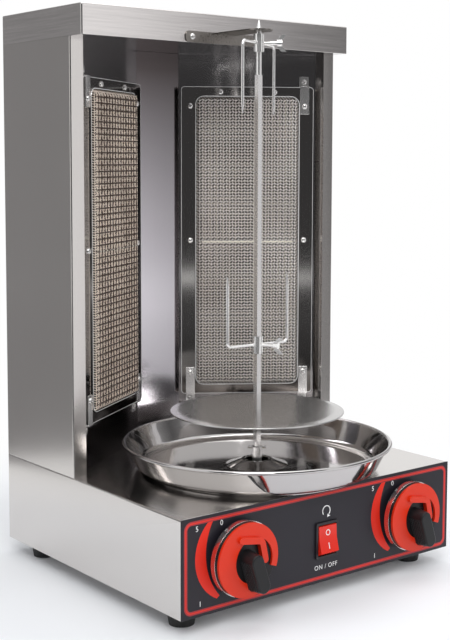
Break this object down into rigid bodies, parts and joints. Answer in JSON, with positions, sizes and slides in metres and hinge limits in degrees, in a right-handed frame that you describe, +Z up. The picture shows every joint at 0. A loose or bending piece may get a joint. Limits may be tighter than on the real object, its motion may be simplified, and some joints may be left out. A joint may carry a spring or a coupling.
{
  "type": "electric skewer grill",
  "caption": "Counter-top vertical skewer grill: steel cabinet, upright mesh-covered radiant burners, motor-turned skewer with forks and meat disc, drip pan, valve knobs and a rocker switch.",
  "frame": {"origin": "middle of the overall footprint, on the surface the feet stand on", "axes": "+Z up along the skewer, -Y towards the control panel, +X to the user's right"},
  "size_m": [0.35, 0.3758, 0.579],
  "materials": {
    "brushed_stainless": "vertical brushed grain, satin",
    "polished_stainless": "mirror polish",
    "skewer_steel": "drawn bar, bright",
    "disc_steel": "fine radial satin",
    "panel_black": "satin black with a thin red border line",
    "knob_black": "satin moulded",
    "knob_orange": "semi-gloss moulded",
    "knob_silver": "bright plated band",
    "switch_black": "satin moulded",
    "rocker_red": "translucent red, gloss",
    "foot_rubber": "matt moulded rubber",
    "burner_wire": "heat-tinted wire",
    "burner_ceramic": "matt perforated plaque",
    "inner_sheet_steel": "plain zinc-coated sheet",
    "fastener_steel": "plated",
    "valve_brass": "machined",
    "terminal_white": "moulded"
  },
  "bodies": {
    "cabinet": {"base_bottom": "brushed_stainless", "base_shell": "brushed_stainless", "bracket_screws": "fastener_steel", "burner_clips": "fastener_steel", "burner_frame_left": "polished_stainless", "burner_frame_right": "polished_stainless", "burner_mesh_left": "burner_wire", "burner_mesh_right": "burner_wire", "burner_screws": "fastener_steel", "cable_gland": "switch_black", "cap": "brushed_stainless", "ceiling_plate": "polished_stainless", "centre_panel": "polished_stainless", "ceramic_tiles_left": "burner_ceramic", "ceramic_tiles_right": "burner_ceramic", "control_panel": "panel_black", "feed_tube_left": "valve_brass", "feed_tube_right": "valve_brass", "feet": "foot_rubber", "foot_screws": "fastener_steel", "gas_inlet": "valve_brass", "gas_manifold": "inner_sheet_steel", "injector_left": "valve_brass", "injector_right": "valve_brass", "inner_wall_left": "polished_stainless", "inner_wall_right": "polished_stainless", "mixer_tube_left": "inner_sheet_steel", "mixer_tube_right": "inner_sheet_steel", "motor": "inner_sheet_steel", "motor_bracket": "inner_sheet_steel", "motor_screws": "fastener_steel", "plenum_left": "inner_sheet_steel", "plenum_right": "inner_sheet_steel", "rocker_housing": "switch_black", "spindle_bush": "valve_brass", "terminal_block": "terminal_white", "top_bracket": "brushed_stainless", "tower_shell": "brushed_stainless", "valve_body_left": "valve_brass", "valve_body_right": "valve_brass"},
    "spindle": {"drive_shaft": "fastener_steel", "drive_socket": "skewer_steel"},
    "skewer": {"skewer_rod": "skewer_steel", "drive_pin": "skewer_steel", "meat_disc": "disc_steel"},
    "upper_fork": {"upper_fork": "skewer_steel"},
    "upper_wing_screw": {"upper_wing_screw": "skewer_steel"},
    "lower_fork": {"lower_fork": "skewer_steel"},
    "lower_wing_screw": {"lower_wing_screw": "skewer_steel"},
    "drip_pan": {"drip_pan": "polished_stainless"},
    "left_valve_stem": {"valve_stem_left": "fastener_steel"},
    "left_knob": {"knob_left": "knob_black", "knob_ring_left": "knob_orange", "knob_skirt_left": "knob_silver"},
    "right_valve_stem": {"valve_stem_right": "fastener_steel"},
    "right_knob": {"knob_right": "knob_black", "knob_ring_right": "knob_orange", "knob_skirt_right": "knob_silver"},
    "rocker": {"rocker": "rocker_red"}
  },
  "joints": [
    {"name": "spindle_turn", "type": "hinge", "parent": "cabinet", "child": "spindle", "pos_m": [0, -0.0479, 0.1095], "axis": [0, 0, 1], "continuous": true},
    {"name": "skewer_lift", "type": "slide", "parent": "spindle", "child": "skewer", "axis": [0, 0, 1], "range_m": [0, 0.016]},
    {"name": "upper_fork_slide", "type": "slide", "parent": "spindle", "child": "upper_fork", "axis": [0, 0, 1], "range_m": [-0.15, 0]},
    {"name": "lower_fork_slide", "type": "slide", "parent": "spindle", "child": "lower_fork", "axis": [0, 0, 1], "range_m": [-0.038, 0.08]},
    {"name": "upper_wing_turn", "type": "hinge", "parent": "upper_fork", "child": "upper_wing_screw", "pos_m": [0, -0.0479, 0.5465], "axis": [0.829, -0.5592, 0], "range_deg": [0, 360]},
    {"name": "lower_wing_turn", "type": "hinge", "parent": "lower_fork", "child": "lower_wing_screw", "pos_m": [0, -0.0479, 0.2385], "axis": [0.4509, -0.8926, 0], "range_deg": [0, 360]},
    {"name": "pan_lift", "type": "slide", "parent": "cabinet", "child": "drip_pan", "axis": [0, 0, 1], "range_m": [0, 0.025]},
    {"name": "left_knob_push", "type": "slide", "parent": "cabinet", "child": "left_valve_stem", "axis": [0, 1, 0], "range_m": [0, 0.0035], "stiffness_N_per_m": 600, "springref_m": -0.003},
    {"name": "left_knob_turn", "type": "hinge", "parent": "left_valve_stem", "child": "left_knob", "pos_m": [-0.1105, -0.1551, 0.0645], "axis": [0, -1, 0], "range_deg": [0, 210]},
    {"name": "right_knob_push", "type": "slide", "parent": "cabinet", "child": "right_valve_stem", "axis": [0, 1, 0], "range_m": [0, 0.0035], "stiffness_N_per_m": 600, "springref_m": -0.003},
    {"name": "right_knob_turn", "type": "hinge", "parent": "right_valve_stem", "child": "right_knob", "pos_m": [0.1105, -0.1551, 0.0645], "axis": [0, -1, 0], "range_deg": [0, 210]},
    {"name": "rocker_tilt", "type": "hinge", "parent": "cabinet", "child": "rocker", "pos_m": [0, -0.1521, 0.059], "axis": [1, 0, 0], "range_deg": [0, 18]}
  ]
}
